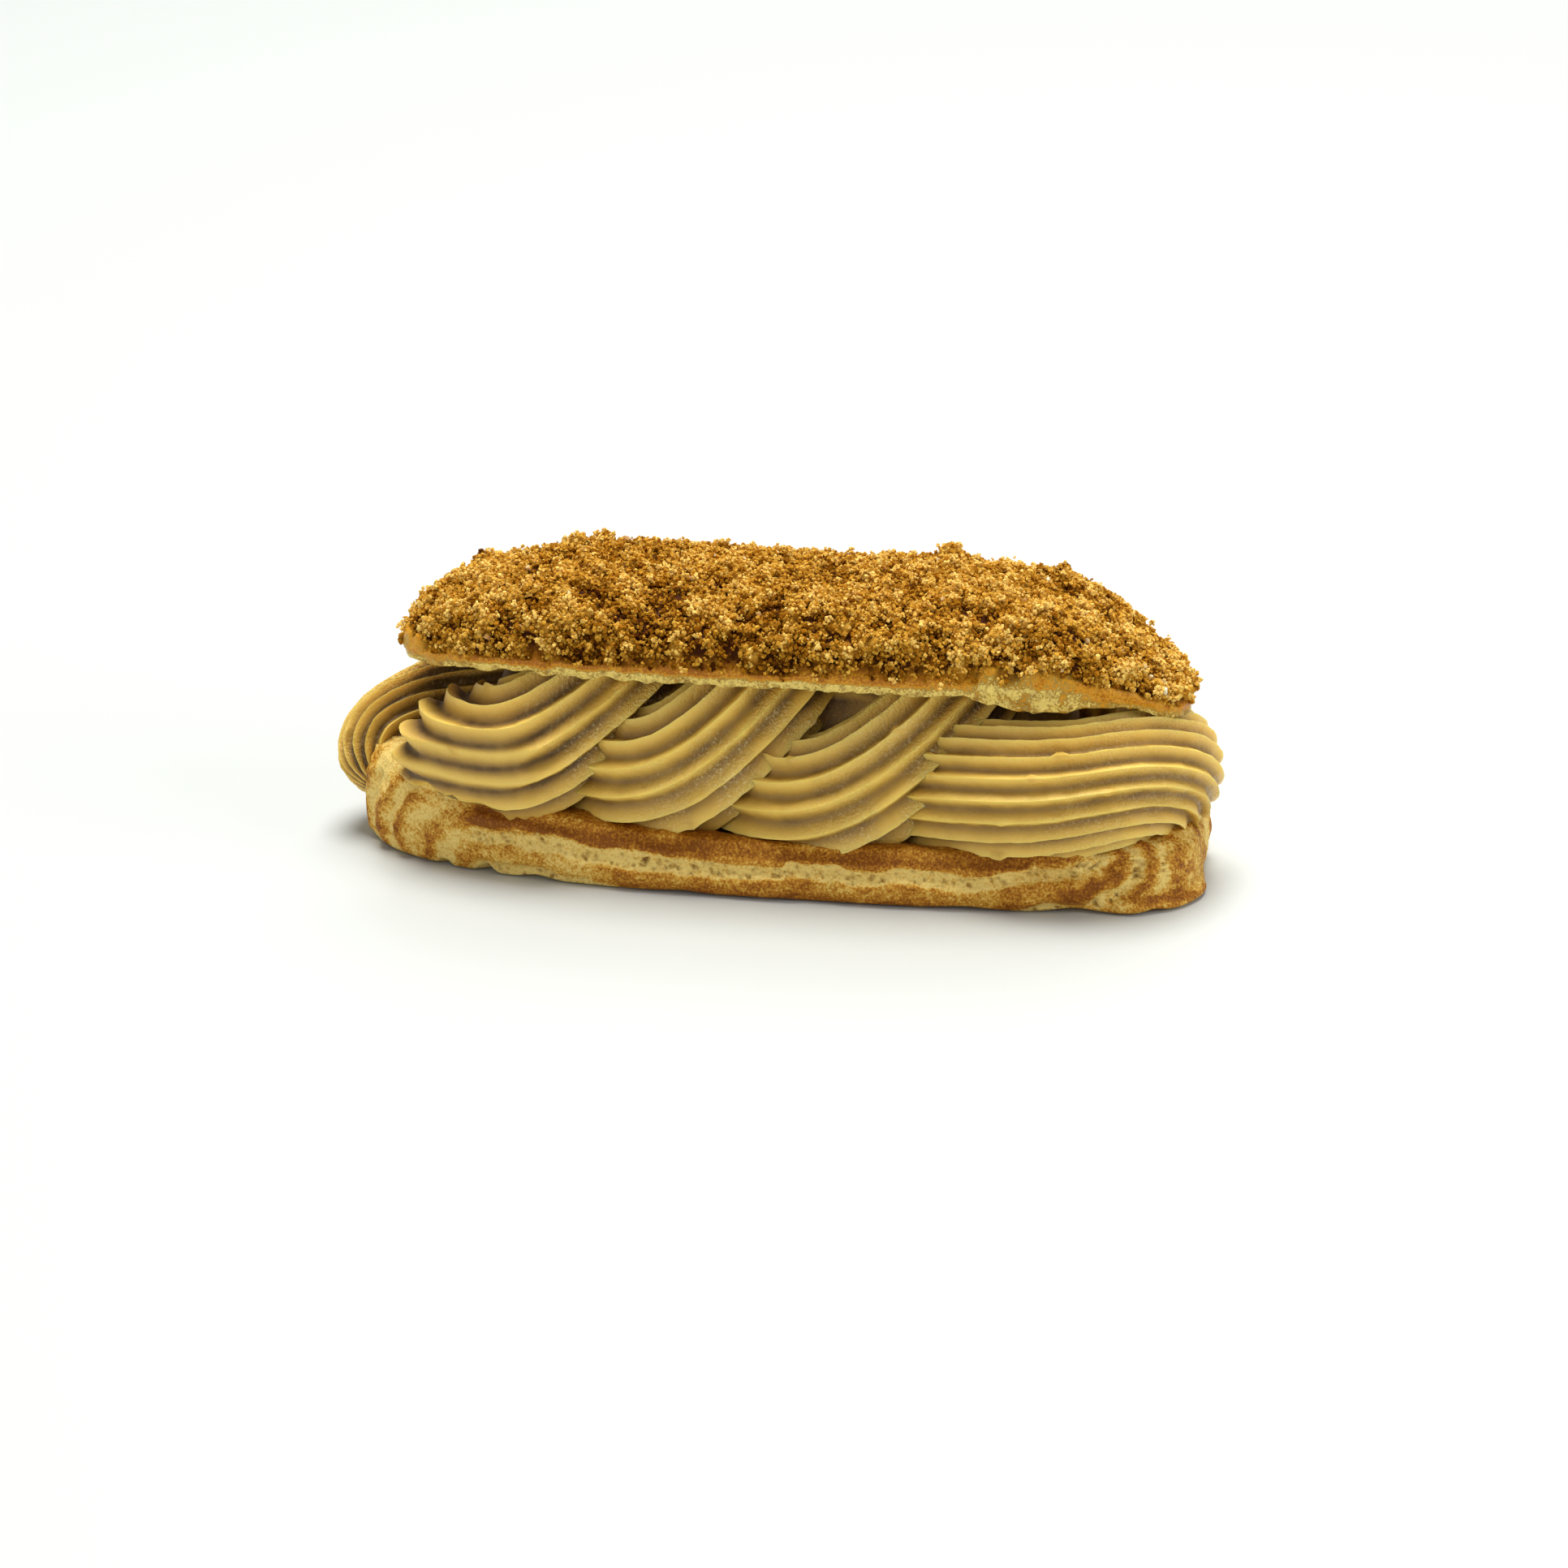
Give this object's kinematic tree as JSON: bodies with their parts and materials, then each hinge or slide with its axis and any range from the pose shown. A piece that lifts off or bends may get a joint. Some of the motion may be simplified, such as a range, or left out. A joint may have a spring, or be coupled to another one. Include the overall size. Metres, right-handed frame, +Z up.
{
  "type": "filled eclair",
  "caption": "Long choux eclair cut level, with ropes of star-piped caramel cream laid in swags between a ridged shell and a lid coated in biscuit crumbs.",
  "frame": {"origin": "middle of the footprint, on the surface that the pastry stands on", "axes": "+X along the pastry towards the end whose lid droops more, +Y to the rear, +Z up"},
  "size_m": [0.1339, 0.0467, 0.0457],
  "materials": {
    "choux": "baked choux pastry, golden brown with pale grooves, dry",
    "cream": "whipped caramel cream, satin and slightly wet",
    "crumbs": "fine golden biscuit crumbs over baked choux, matte"
  },
  "bodies": {
    "root": {"choux_shell": "choux", "piped_cream": "cream", "crumbed_lid": "crumbs"}
  },
  "joints": []
}
